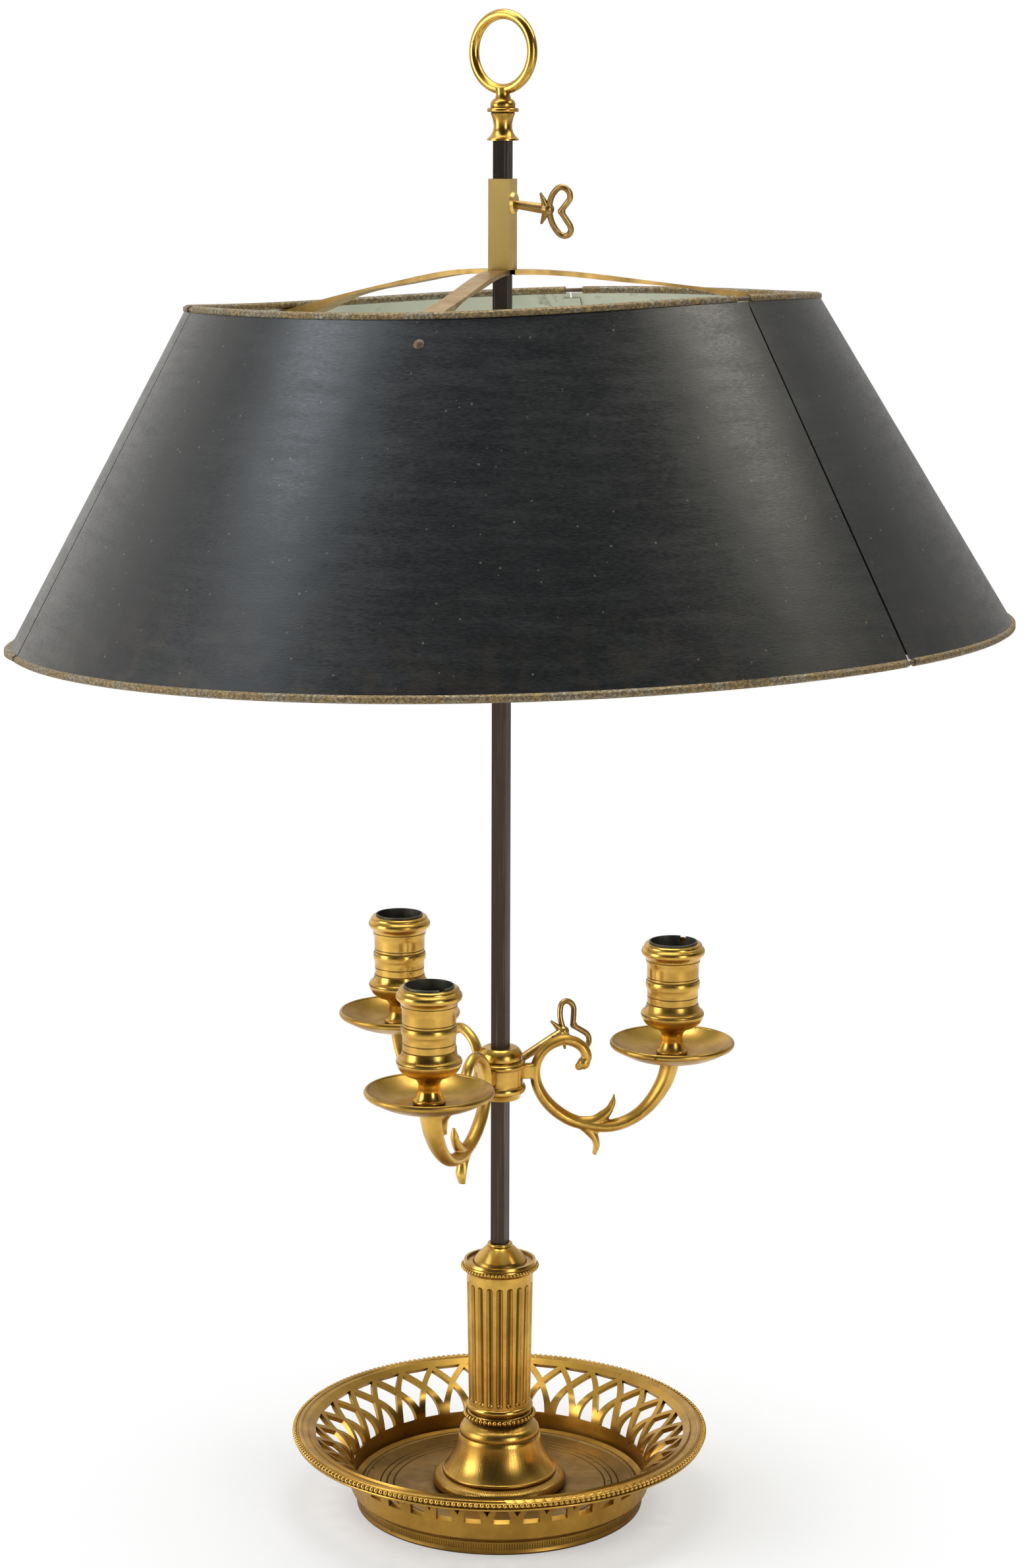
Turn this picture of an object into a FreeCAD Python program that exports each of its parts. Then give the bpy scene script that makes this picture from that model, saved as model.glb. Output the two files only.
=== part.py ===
"""Bouillotte lamp: three candles on a square iron rod, under a sliding painted tin shade.

Frame: millimetres, +Z up, origin on the rod's axis at table level. Azimuths are in degrees,
from the front (-Y) towards the right (+X).
"""
import FreeCAD, Part
import math
import os

V = FreeCAD.Vector

# Base
BAYS = 33                  # arches in the pierced gallery
BAY_START = 1.06           # azimuth of the first arch
BAND_R = 68.4              # plain outer band at the foot
WALL_R = 70.6              # gallery wall where the arches spring
WALL_T = 2.2
WALL_Z = 15.0              # the wall stands straight up to here
FLARE_R = 16.0             # radius of the gallery's outward sweep
FLARE_TURN = 58.0          # degrees that the sweep turns through
ARCH_FOOT = 2.0            # the arches spring this far up the sweep
ARCH_H = 26.5              # arch height, along the wall
WALL_TOP = 30.2            # length of the wall above the arches' feet
RIM_IN = 89.9
RIM_OUT = 98.0
RIM_Z = 35.5
FLOOR_TOP = 8.0
FLOOR_T = 1.6
ENGRAVED = (57.2, 54.1, 50.7)

# Column and rod
FLUTES = 20
SHAFT_Z0, SHAFT_Z1 = 49.6, 115.4
SHAFT_R0, SHAFT_R1 = 14.5, 15.75
ROD = 6.9                  # side of the square rod
ROD_TURN = -20.0           # azimuth of the rod's front face
ROD_FIT = 0.08             # running clearance of each slide, per side
ROD_TOP = 642.5
COLUMN_BORE = 5.3

# Top ring
RING_R = 16.35
RING_TUBE = 2.3
RING_TURN = 37.8
LAMP_TOP = 700.0

# Candle arms
ARM_AZ = (-23.0, 97.0, 217.0)
ARM_NAMES = ("front", "right", "back")
PAN_R = 81.6               # distance of each candle from the rod
SOCKET_R = 10.7
SOCKET_FLOOR = 249.0
NOZZLE_TOP = 272.4

# Shade
SHADE_TOP = V(0, 0, 570.9)
LEAN_X, LEAN_Y = 1.69, 1.75    # degrees: right side up, front up
TOP_R, BOTTOM_R = 141.8, 226.85
SHADE_H = 148.4
SHEET_T = 0.8
RIM_BEAD = 1.75
SEAM_AZ = 46.5
LIFT = 1.3                 # the top edge rises this much at each seam
PANEL_GAP = 0.18           # half of each seam's gap, in degrees
LAP = 1.7                  # a lap reaches this many degrees past the seam, behind the next panel
PANEL_NAMES = ("front", "left", "right")
SLEEVE = 10.1
SLEEVE_Z0, SLEEVE_Z1 = 585.4, 625.7
STRAP_W, STRAP_T = 9.0, 2.2
LUG_GAP = 0.22             # a flat lug against the curved sheet: gap at its middle
RIVET_DROP = 13.0          # rivet below the shade's top edge, along the sheet
RIVET_R = 2.3

# Keys: azimuth, rise, roll, height on the rod's axis; tip, neck and handle along the shaft
SHADE_KEY = dict(az=70.0, rise=-7.3, roll=-24.5, z0=615.2, tip=4.0, neck=7.2, reach=22.5)
ARM_KEY = dict(az=125.0, rise=21.1, roll=16.5, z0=212.2, tip=5.95, neck=14.0, reach=39.8)
KEY_CORE = 1.9
LOBE = [(0.0, 1.0), (4.0, 11.0), (8.6, 11.2), (9.3, 6.0), (5.4, 0.2)]    # half of the heart
LOBE_TUBE = 1.35
KEY_FIT = 0.06


def polar(r, az, z):
    a = math.radians(az)
    return V(r * math.sin(a), -r * math.cos(a), z)


def about_z(shape, az):
    turned = shape.copy()
    turned.rotate(V(0, 0, 0), V(0, 0, 1), az)
    return turned


def outline(parts, place):
    """Closed wire. Each part is a point, ("arc", mid, end, mid, end...) or ("curve", points)."""
    first = last = parts[0]
    edges = []
    for item in list(parts[1:]) + [first]:
        if item[0] == "arc":
            for mid, end in zip(item[1::2], item[2::2]):
                edges.append(Part.Arc(place(last), place(mid), place(end)).toShape())
                last = end
        elif item[0] == "curve":
            spline = Part.BSplineCurve()
            spline.interpolate([place(last)] + [place(p) for p in item[1]])
            edges.append(spline.toShape())
            last = item[1][-1]
        elif place(item).distanceToPoint(place(last)) > 1e-6:
            edges.append(Part.makeLine(place(last), place(item)))
            last = item
    return Part.Wire(edges)


def turned(parts, centre=V(0, 0, 0)):
    """Solid of revolution about a vertical axis from an (r, z) outline."""
    wire = outline(parts, lambda p: V(p[0], 0, p[1]))
    solid = Part.Face(wire).revolve(V(0, 0, 0), V(0, 0, 1), 360)
    solid.translate(centre)
    return solid


def square_bar(side, z0, z1, az=ROD_TURN):
    bar = Part.makeBox(side, side, z1 - z0, V(-side / 2, -side / 2, z0))
    return about_z(bar, az)


def cylinder(r, start, end):
    return Part.makeCylinder(r, (end - start).Length, start, end - start)


# Base

def wall_point(s, out=0.0):
    """(r, z) on the gallery wall at length s above the arches' feet, offset outwards."""
    run = s + ARCH_FOOT
    turn = min(run / FLARE_R, math.radians(FLARE_TURN))
    past = max(0.0, run - FLARE_R * math.radians(FLARE_TURN))
    r = WALL_R + FLARE_R * (1 - math.cos(turn)) + past * math.sin(turn)
    z = WALL_Z + FLARE_R * math.sin(turn) + past * math.cos(turn)
    return r + out * math.cos(turn), z - out * math.sin(turn)


def gallery():
    foot = -ARCH_FOOT
    bend = FLARE_R * math.radians(FLARE_TURN) - ARCH_FOOT
    half = WALL_T / 2
    face = wall_point
    wall = turned([
        (BAND_R - 1.9, 2.5), (BAND_R - 0.2, 2.5), (BAND_R, 6.2), (WALL_R + half - 0.3, 9.0),
        face(foot, half), ("arc", face(bend / 2, half), face(bend, half)), face(WALL_TOP, half),
        face(WALL_TOP, -half), face(bend, -half), ("arc", face(bend / 2, -half), face(foot, -half)),
        (WALL_R - half, 9.6), (BAND_R - 1.9, 8.0)])
    cutters = []
    for bay in range(BAYS):
        az = BAY_START + bay * 360.0 / BAYS
        cutters += [about_z(shape, az) for shape in OPENINGS]
    return wall.cut(Part.makeCompound(cutters))


def rib_line(s):
    """How far a rib has crossed its bays at height s: 1 at the arch's crown."""
    return 0.02136 * s + 0.000618 * s * s


def rib_half(s):
    """Half of a rib's width, measured round the wall."""
    pitch = math.radians(360.0 / BAYS) * wall_point(s)[0]
    slope = pitch * (0.02136 + 2 * 0.000618 * s)
    width = 1.35 + 1.2 * max(0.0, 1 - s / 9.0) ** 2
    return width * math.sqrt(1 + slope * slope)


def rib_side(s, sign):
    """Place of a rib's edge in bays: sign -1 is its low side, +1 its high side."""
    pitch = math.radians(360.0 / BAYS) * wall_point(s)[0]
    return rib_line(s) + sign * rib_half(s) / pitch


def meet(value, sign, low, high):
    """Height where a rib's edge stands at the given place in bays."""
    for _ in range(40):
        mid = (low + high) / 2
        if rib_side(mid, sign) < value:
            low = mid
        else:
            high = mid
    return (low + high) / 2


def opening(corners, centre_s):
    """Cutter for one opening: corners are (bays from the centre, s) joined by arcs or lines."""
    r0, z0 = wall_point(centre_s)
    r1, z1 = wall_point(centre_s + 0.1)
    along = V(0, -(r1 - r0), z1 - z0).normalize()
    across = V(1, 0, 0)
    normal = across.cross(along)
    origin = V(0, -r0, z0)

    def place(p):
        r, z = wall_point(p[1])
        offset = polar(r, p[0] * 360.0 / BAYS, z) - origin
        return origin + across * offset.dot(across) + along * offset.dot(along)

    face = Part.Face(outline(corners, place))
    face.translate(normal * -6)
    return face.extrude(normal * 12)


def openings():
    cross_low = meet(0.5, 1, 5, 24)        # top of the narrow lancet
    cross_high = meet(0.5, -1, 5, 27)      # foot of the small triangle
    pier = meet(0.0, -1, 3, 20)            # foot of the kite
    crown = meet(1.0, 1, 12, ARCH_H)       # top of the kite
    side = meet(0.5, 0, 5, 26)             # corners of the kite
    mid = lambda a, b: (a + b) / 2
    low = mid(0.4, cross_low)
    lancet = [(-0.5 + rib_side(0.4, 1), 0.4),
              (0.5 - rib_side(0.4, 1), 0.4),
              ("arc", (0.5 - rib_side(low, 1), low), (0.0, cross_low)),
              ("arc", (-0.5 + rib_side(low, 1), low), (-0.5 + rib_side(0.4, 1), 0.4))]
    out = 0.5 - rib_half(side) / (math.radians(360.0 / BAYS) * wall_point(side)[0])
    k1, k2 = mid(pier, side), mid(side, crown)
    kite = [(0.0, pier),
            ("arc", (rib_side(k1, -1), k1), (out, side)),
            ("arc", (1 - rib_side(k2, 1), k2), (0.0, crown)),
            ("arc", (-1 + rib_side(k2, 1), k2), (-out, side)),
            ("arc", (-rib_side(k1, -1), k1), (0.0, pier))]
    t1 = mid(cross_high, ARCH_H)
    wing = rib_side(ARCH_H, -1) - 0.5
    triangle = [(0.0, cross_high),
                ("arc", (rib_side(t1, -1) - 0.5, t1), (wing, ARCH_H)),
                (-wing, ARCH_H),
                ("arc", (0.5 - rib_side(t1, -1), t1), (0.0, cross_high))]
    return [opening(lancet, 7.0),
            about_z(opening(kite, side), 180.0 / BAYS),
            opening(triangle, 23.0)]


def gallery_rim():
    z = RIM_Z
    return turned([
        (RIM_IN, z - 1.2), (RIM_IN + 2.6, z - 2.0), (RIM_OUT - 0.9, z - 2.0),
        ("arc", (RIM_OUT, z - 1.2), (RIM_OUT - 0.7, z - 0.4)),
        ("arc", (RIM_OUT - 0.2, z + 0.7), (RIM_OUT - 1.6, z + 1.7)),
        ("arc", (RIM_OUT - 2.6, z + 2.5), (RIM_OUT - 3.8, z + 1.9)), (RIM_OUT - 6.3, z + 1.5),
        ("arc", (RIM_IN + 0.5, z + 1.6), (RIM_IN - 0.1, z + 0.6))]).cut(gallery_shell())


def gallery_shell():
    """The wall's top strip, which the rim is seated on."""
    half = WALL_T / 2
    return turned([wall_point(WALL_TOP - 8, half), wall_point(WALL_TOP, half),
                   wall_point(WALL_TOP, -half), wall_point(WALL_TOP - 8, -half)])


def foot_band():
    return turned([
        (BAND_R - 4.4, 0.0), (BAND_R - 0.5, 0.0), ("arc", (BAND_R, 0.5), (BAND_R, 1.2)),
        (BAND_R - 0.2, 2.5), (BAND_R - 1.9, 2.5), (BAND_R - 1.9, FLOOR_TOP - FLOOR_T),
        (BAND_R - 4.4, FLOOR_TOP - FLOOR_T)])


def floor_plate():
    edge = BAND_R - 1.9
    plate = turned([
        (4.2, FLOOR_TOP - FLOOR_T), (edge, FLOOR_TOP - FLOOR_T), (edge, 8.0),
        ("arc", (edge - 0.9, 9.4), (edge - 2.6, 8.6)), (60.0, FLOOR_TOP), (4.2, FLOOR_TOP)])
    for r in ENGRAVED:
        plate = plate.cut(turned([(r - 0.45, FLOOR_TOP + 0.01), (r, FLOOR_TOP - 0.45),
                                  (r + 0.45, FLOOR_TOP + 0.01)]))
    return plate


def milled_ring():
    return turned([
        (24.0, FLOOR_TOP), (30.2, FLOOR_TOP),
        ("arc", (31.7, 10.4), (29.6, 14.2)), (27.3, 15.0), (24.0, 15.0)])


def bell():
    """Hollow turned bell that carries the column, closed at its top by a flat web."""
    return turned([
        (26.6, 15.0), (27.3, 15.4), ("arc", (27.4, 16.2), (26.6, 17.0)),
        ("arc", (24.2, 20.2), (21.6, 25.2), (20.2, 29.8), (19.4, 33.6)),
        (19.0, 34.2), ("arc", (18.7, 37.0), (16.6, 39.3)), (14.0, 41.6),
        (COLUMN_BORE, 41.6), (COLUMN_BORE, 38.0), (15.6, 38.0), (17.2, 34.5),
        ("arc", (18.3, 29.8), (20.0, 24.6), (22.5, 19.6), (25.2, 15.0))])


def column_collar():
    return turned([
        (COLUMN_BORE, 41.6), (13.75, 41.6), (14.0, 42.6),
        ("arc", (15.6, 44.0), (14.3, 45.6)), (14.4, 46.1),
        ("arc", (15.95, 47.9), (14.9, 49.6)), (COLUMN_BORE, 49.6)])


def column():
    """Fluted shaft, with plain bands left at its top and foot."""
    shaft = turned([
        (COLUMN_BORE, SHAFT_Z0), (SHAFT_R0 + 0.25, SHAFT_Z0), (SHAFT_R1, SHAFT_Z1 - 4.5),
        (SHAFT_R1, SHAFT_Z1), (COLUMN_BORE, SHAFT_Z1)])
    foot = V(0, -SHAFT_R0 - 0.65, SHAFT_Z0 + 2.6)
    head = V(0, -SHAFT_R1 - 0.65, SHAFT_Z1 - 6.5)
    flute = cylinder(1.7, foot, head).fuse(Part.makeSphere(1.7, foot)).fuse(Part.makeSphere(1.7, head))
    cuts = [about_z(flute, i * 360.0 / FLUTES) for i in range(FLUTES)]
    return shaft.cut(Part.makeCompound(cuts))


def column_cap():
    cap = turned([
        (3.0, SHAFT_Z1), (16.7, SHAFT_Z1), (17.0, 116.0), ("arc", (17.45, 117.4), (17.1, 118.8)),
        (17.3, 119.4), (16.9, 120.6), (15.7, 120.6), (15.3, 119.5), (12.9, 119.5), (12.2, 120.9),
        ("arc", (9.1, 124.4), (6.6, 126.8)),
        (5.7, 127.3), ("arc", (6.0, 128.1), (5.5, 128.7)), (3.0, 128.7)])
    return cap.cut(square_bar(ROD, 100, 140))


def rod():
    bar = square_bar(ROD, 20.0, ROD_TOP)
    tail = Part.makeCylinder(3.0, 20.0 - 0.8, V(0, 0, 0.8))
    spigot = Part.makeCylinder(2.0, 7.0, V(0, 0, ROD_TOP))
    return bar.fuse([tail, spigot])


def tail_washer():
    return turned([(3.05, 5.2), (11.0, 5.2), (11.0, 6.4), (3.05, 6.4)])


def tail_nut():
    corners = [polar(6.2, 30 + 60 * i, 1.4) for i in range(7)]
    body = Part.Face(Part.makePolygon(corners)).extrude(V(0, 0, 3.8))
    chamfer = turned([(0, 0.9), (5.2, 0.9), (6.6, 2.2), (6.6, 5.2), (0, 5.2)])
    return body.common(chamfer).cut(Part.makeCylinder(3.0, 8, V(0, 0, 0)))


def finial():
    base = turned([
        (2.0, ROD_TOP), (7.1, ROD_TOP), (7.1, 643.3),
        ("arc", (5.1, 645.4), (4.15, 649.0), (4.6, 652.0), (5.5, 654.4)),
        (5.0, 654.9), (6.7, 655.0), ("arc", (7.1, 655.8), (6.7, 656.7)), (5.4, 657.0),
        ("arc", (5.3, 659.4), (3.6, 660.8)), (3.1, 662.6), (3.4, 665.5), (0, 665.5),
        (0, 650.0), (2.0, 650.0)])
    centre = V(0, 0, LAMP_TOP - RING_R - RING_TUBE)
    ring = Part.makeTorus(RING_R, RING_TUBE, centre, V(0, 1, 0))
    ring.rotate(centre, V(0, 0, 1), -RING_TURN)
    return base.fuse(ring)


# Keys

def key_frame(az, rise, roll, z0, **_):
    """Local frame of a key: x out along its shaft, y across its handle."""
    out = polar(math.cos(math.radians(rise)), az, math.sin(math.radians(rise)))
    level = V(math.cos(math.radians(az)), math.sin(math.radians(az)), 0)
    up = level.cross(out)
    if up.z < 0:
        up = up * -1
    c, s = math.cos(math.radians(roll)), math.sin(math.radians(roll))
    across = up * c + level * s
    return V(0, 0, z0), out, across


def tangent_arcs(points, heading):
    """Wire of arcs through the points, each leaving in the direction the last one ended in."""
    edges = []
    for start, end in zip(points, points[1:]):
        chord = end - start
        angle = heading.getAngle(chord)
        normal = heading.cross(chord).normalize()
        sagitta = chord.Length / 2 * math.tan(angle / 2)
        mid = (start + end) * 0.5 - normal.cross(chord).normalize() * sagitta
        edges.append(Part.Arc(start, mid, end).toShape())
        heading = chord * (2 * math.cos(angle) / chord.Length) - heading
        heading.normalize()
    return Part.Wire(edges)


def key(spec):
    origin, out, across = key_frame(**spec)
    reach = spec["reach"]
    place = lambda a, b: origin + out * a + across * b
    tip = cylinder(KEY_CORE - 0.5, place(spec["tip"], 0), place(spec["tip"] + 0.8, 0))
    core = cylinder(KEY_CORE, place(spec["tip"] + 0.8, 0), place(spec["neck"], 0))
    shaft = Part.makeCone(KEY_CORE, 2.4, reach - 1.0 - spec["neck"], place(spec["neck"], 0), out)
    boss = Part.makeSphere(2.8, place(reach - 0.8, 0))
    solid = tip.fuse([core, shaft, boss])
    for side in (1, -1):
        spots = [place(reach + a, side * b) for a, b in LOBE]
        path = tangent_arcs(spots, across * side)
        ring = Part.makeCircle(LOBE_TUBE, spots[0], across * side)
        solid = solid.fuse(path.makePipeShell([Part.Wire(ring)], True, False))
        foot = place(reach - 1.6, side * 1.2)
        leaf = place(reach - 4.2, side * 7.6) - foot
        solid = solid.fuse(Part.makeCone(1.9, 0.5, leaf.Length, foot, leaf))
    cusp = Part.makeSphere(1.75, place(reach + 5.7, 0))
    return solid.fuse(cusp)


def key_hole(spec, fit=KEY_FIT):
    origin, out, _ = key_frame(**spec)
    return cylinder(KEY_CORE + fit, origin, origin + out * 20)


# Candle arms

ARM_PATH = [(39.9, 214.1), (40.9, 218.6), (38.7, 223.2), (33.8, 226.2), (28.6, 226.6),
            (21.2, 222.8), (17.0, 215.3), (17.2, 206.0), (22.3, 196.7), (31.0, 189.2),
            (41.0, 185.3), (52.6, 184.2), (63.0, 187.6), (71.5, 194.8), (78.1, 205.2),
            (81.4, 217.0)]
ARM_SECTIONS = 30
UPPER_SPUR = [(37.0, 187.4), (44.5, 186.9), (50.4, 190.4), (53.4, 195.2), (54.2, 199.8)]
LOWER_SPUR = [(31.0, 189.8), (39.5, 184.0), (44.2, 179.6), (45.9, 175.0), (44.6, 170.2)]


def lozenge(centre, tangent, width, depth):
    """Cross-section of a cast arm: a lozenge with bowed sides, square to its path."""
    side = V(0, 1, 0)
    up = tangent.cross(side).normalize()
    tips = [side * (width / 2), up * (depth / 2), side * (-width / 2), up * (-depth / 2)]
    edges = []
    for i in range(4):
        a, b = tips[i], tips[(i + 1) % 4]
        bow = (a + b) * 0.5 * 1.22
        edges.append(Part.Arc(centre + a, centre + bow, centre + b).toShape())
    return Part.Wire(edges)


def cast_bar(points, count, width, depth):
    """Loft of lozenges along a curve; width and depth are functions of 0 to 1 along it."""
    path = Part.BSplineCurve()
    path.interpolate([V(r, 0, z) for r, z in points])
    spots = path.toShape().discretize(Number=count)
    wires = []
    for i, spot in enumerate(spots):
        tangent = path.tangent(path.parameter(spot))[0]
        wires.append(lozenge(spot, tangent, width(i / (count - 1)), depth(i / (count - 1))))
    return Part.makeLoft(wires, True, False)


def ease(a, b, t):
    return a + (b - a) * t


def arm_body():
    swell = lambda t: max(0.0, (t - 0.55) / 0.45) ** 1.6
    main = cast_bar(ARM_PATH, ARM_SECTIONS,
                    lambda t: ease(5.6, 9.4, swell(t)) if t > 0.04 else 4.4,
                    lambda t: ease(4.3, 8.4, swell(t)) if t > 0.04 else 3.2)
    knob = Part.makeSphere(2.4, V(39.4, 0, 214.9))
    upper = cast_bar(UPPER_SPUR, 9, lambda t: ease(4.6, 3.0, t), lambda t: ease(3.8, 1.1, t))
    lower = cast_bar(LOWER_SPUR, 9, lambda t: ease(4.6, 5.4, t), lambda t: ease(3.8, 1.5, t))
    stub = Part.makeBox(6.6, 5.0, 6.6, V(9.6, -2.5, 209.0))
    spigot = Part.makeCylinder(3.0, 10.0, V(PAN_R, 0, 213.0))
    trim = Part.makeCylinder(12.0, 20, V(PAN_R, 0, 216.4))
    return main.cut(trim).fuse([knob, upper, lower, stub, spigot])


def drip_pan():
    return turned([
        (3.05, 216.4), (12.0, 216.4), ("arc", (20.2, 218.1), (27.6, 222.0)),
        ("arc", (29.4, 223.4), (28.9, 225.0)), ("arc", (28.3, 225.2), (27.7, 224.6)),
        ("arc", (20.0, 219.9), (12.0, 218.3)), (3.05, 218.3)])


def nozzle():
    return turned([
        (3.05, 218.3), (6.4, 218.3), ("arc", (7.4, 219.6), (6.5, 220.9)),
        ("arc", (5.7, 222.5), (5.0, 224.8)), (5.1, 228.2),
        ("arc", (7.0, 230.6), (9.8, 231.8), (13.2, 234.2), (14.8, 237.6)),
        ("arc", (14.7, 239.0), (13.9, 239.9)),
        (13.3, 240.2), ("arc", (12.6, 241.7), (12.15, 243.3)), (11.9, 243.5),
        (12.0, 250.2), (12.5, 251.0), ("arc", (12.75, 252.7), (12.5, 254.4)), (12.1, 255.0),
        (12.2, 262.4), (12.7, 263.2), (12.7, 264.3),
        ("arc", (13.3, 265.8), (14.5, 267.0), (14.9, 268.6), (14.4, 269.9)), (13.6, 270.5),
        ("arc", (13.4, 271.8), (12.6, NOZZLE_TOP)), (11.3, NOZZLE_TOP), (11.3, SOCKET_FLOOR - 1),
        (3.05, SOCKET_FLOOR - 1)])


def nozzle_liner():
    """Tinned cup that holds the candle; its lip is torn at one place."""
    z0 = SOCKET_FLOOR - 1
    cup = turned([(0, z0), (11.25, z0), (11.25, NOZZLE_TOP + 0.9), (SOCKET_R, NOZZLE_TOP + 0.9),
                  (SOCKET_R, SOCKET_FLOOR), (0, SOCKET_FLOOR)])
    tear = Part.makeBox(3.0, 6.0, 6.0, V(-1.5, 7.5, NOZZLE_TOP - 2.2))
    return cup.cut(about_z(tear, -35))


def arm_collar(arms):
    solid = turned([
        (0, 200.0), (9.3, 200.0), (9.9, 201.4), (10.3, 202.2),
        ("arc", (12.0, 204.4), (10.8, 206.8)), (10.75, 207.6), (10.9, 214.6),
        ("arc", (11.9, 216.4), (10.3, 217.8)), (9.8, 218.2), (10.3, 219.0),
        ("arc", (9.8, 222.2), (7.8, 224.4)), (0, 224.4)])
    solid = solid.cut(square_bar(ROD + 2 * ROD_FIT, 190, 240))
    solid = solid.cut(key_hole(ARM_KEY))
    return solid.cut(Part.makeCompound(arms))


# Shade

def lean(shape):
    """Tip the shade about its top centre: right side up, then front up."""
    moved = shape.copy()
    moved.translate(SHADE_TOP)
    moved.rotate(SHADE_TOP, V(0, 1, 0), -LEAN_X)
    moved.rotate(SHADE_TOP, V(1, 0, 0), -LEAN_Y)
    return moved


def edge_points(az):
    """Top and bottom edge of the sheet at an azimuth, in the shade's own frame."""
    wave = math.cos(math.radians(3 * (az - SEAM_AZ)))
    return (TOP_R, LIFT * wave), (BOTTOM_R, -SHADE_H + 0.3 * wave)


def sheet_frame(az):
    (r0, z0), (r1, z1) = edge_points(az)
    length = math.hypot(r1 - r0, z1 - z0)
    down = ((r1 - r0) / length, (z1 - z0) / length)
    return (r0, z0), down, (-down[1], down[0]), length


def sheet_point(az, d, off):
    """Point at distance d down the sheet and off outside its middle surface."""
    (r0, z0), down, out, _ = sheet_frame(az)
    return polar(r0 + down[0] * d + out[0] * off, az, z0 + down[1] * d + out[1] * off)


def strip(start, stop, count, corners):
    """Loft round the shade of a section given as (distance, offset) corners."""
    wires = []
    for i in range(count):
        az = ease(start, stop, i / (count - 1))
        section = [sheet_point(az, d(az), off) for d, off in corners]
        wires.append(Part.makePolygon(section + section[:1]))
    return Part.makeLoft(wires, True, False)


def shade_panel(index):
    start = SEAM_AZ - 120 * (index + 1) + PANEL_GAP
    half = SHEET_T / 2
    top = lambda az: RIM_BEAD * 0.9
    low = lambda az: sheet_frame(az)[3] - RIM_BEAD * 0.9
    stop = start + 120 - 2 * PANEL_GAP
    sheet = strip(start, stop, 9, [(top, half), (low, half), (low, -half), (top, -half)])
    top = lambda az: 4.0
    low = lambda az: sheet_frame(az)[3] - 4.0
    for first, last, face in ((stop - LAP, stop, 0.0), (stop - 0.02, stop + LAP, -half - 0.05)):
        under = -half - SHEET_T
        sheet = sheet.fuse(strip(first, last, 3, [(top, face), (low, face), (low, under),
                                                  (top, under)]))
    return lean(sheet)


def shade_rim(index, bottom):
    """Rolled bead along a panel's edge."""
    start = SEAM_AZ - 120 * (index + 1) + (0.55 if bottom else 0.9)
    stop = SEAM_AZ - 120 * index - (0.45 if bottom else 2.6)
    corners = []
    for i in range(6):
        a = math.radians(60 * i + 30)
        shift = RIM_BEAD * math.cos(a)
        edge = (lambda az, s=shift: sheet_frame(az)[3] + s) if bottom else (lambda az, s=shift: s)
        corners.append((edge, RIM_BEAD * math.sin(a)))
    return lean(strip(start, stop, 9, corners))


def seam_pins():
    """Wire inside the rolled edges, bare where the beads stop at each seam."""
    pins = []
    for i in range(3):
        seam = SEAM_AZ - 120 * i
        for bottom in (False, True):
            reach = 1.2 if bottom else 3.2
            ends = []
            for az in (seam - reach, seam + reach * 0.6):
                d = sheet_frame(az)[3] if bottom else 0.0
                ends.append(sheet_point(az, d, 0))
            pins.append(lean(cylinder(1.0, ends[0], ends[1])))
    return Part.makeCompound(pins)


def rivet_azimuth(index):
    return SEAM_AZ - 120 * index - 60


def shade_rivets():
    solids = []
    for i in range(3):
        az = rivet_azimuth(i)
        axis = (sheet_point(az, RIVET_DROP, 1) - sheet_point(az, RIVET_DROP, 0)).normalize()
        shank = Part.makeCylinder(1.2, STRAP_T + SHEET_T + 1.0,
                                  sheet_point(az, RIVET_DROP, -STRAP_T - SHEET_T / 2 - 0.5), axis)
        head = Part.makeSphere(3.2, sheet_point(az, RIVET_DROP, SHEET_T / 2 - 2.2))
        slab = Part.makeCylinder(RIVET_R, 1.2, sheet_point(az, RIVET_DROP, SHEET_T / 2), axis)
        tail = Part.makeCylinder(1.8, 0.6,
                                 sheet_point(az, RIVET_DROP, -STRAP_T - SHEET_T / 2 - 0.6), axis)
        solids.append(lean(head.common(slab).fuse([shank, tail])))
    return solids


def spider_arm(index, rivets):
    """Strap from the sleeve's foot to a lug riveted inside one panel."""
    az = rivet_azimuth(index)
    inner = -SHEET_T / 2 - STRAP_T - LUG_GAP
    spots = []
    for d, off in ((RIVET_DROP + 6, inner), (RIVET_DROP + 6, inner + STRAP_T),
                   (3.4, inner + STRAP_T), (3.4, inner)):
        dot = Part.Vertex(sheet_point(az, d, off))
        spots.append(lean(dot).Point)
    radial = polar(1, az, 0)
    flat = [(p.dot(radial), p.z) for p in spots]
    low_in, low_out, high_out, high_in = flat
    z = SLEEVE_Z0
    t = STRAP_T
    dip = ease(z, high_in[1], 0.62)
    wire = outline([
        low_in, low_out, high_out,
        ("curve", [(high_out[0] - 6, high_out[1] + 1.6), (100.0, dip + 0.6 * t),
                   (55.0, ease(z, dip, 0.35)), (20.0, z - 0.3), (9.0, z)]),
        (4.6, z), (4.6, z - t), (9.0, z - t),
        ("curve", [(20.0, z - t - 0.3), (55.0, ease(z, dip, 0.35) - t), (100.0, dip - 0.4 * t),
                   (high_in[0] - 5, high_in[1] - 0.6), high_in])],
        lambda p: polar(p[0], az, p[1]))
    side = V(math.cos(math.radians(az)), math.sin(math.radians(az)), 0)
    face = Part.Face(wire)
    face.translate(side * (-STRAP_W / 2))
    strap = face.extrude(side * STRAP_W)
    strap = strap.cut(square_bar(ROD + 2 * ROD_FIT, 550, 600))
    return strap.cut(rivets[index])


def shade_sleeve():
    solid = square_bar(SLEEVE, SLEEVE_Z0, SLEEVE_Z1)
    solid = solid.cut(square_bar(ROD + 2 * ROD_FIT, 570, 640))
    return solid.cut(key_hole(SHADE_KEY))


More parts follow.
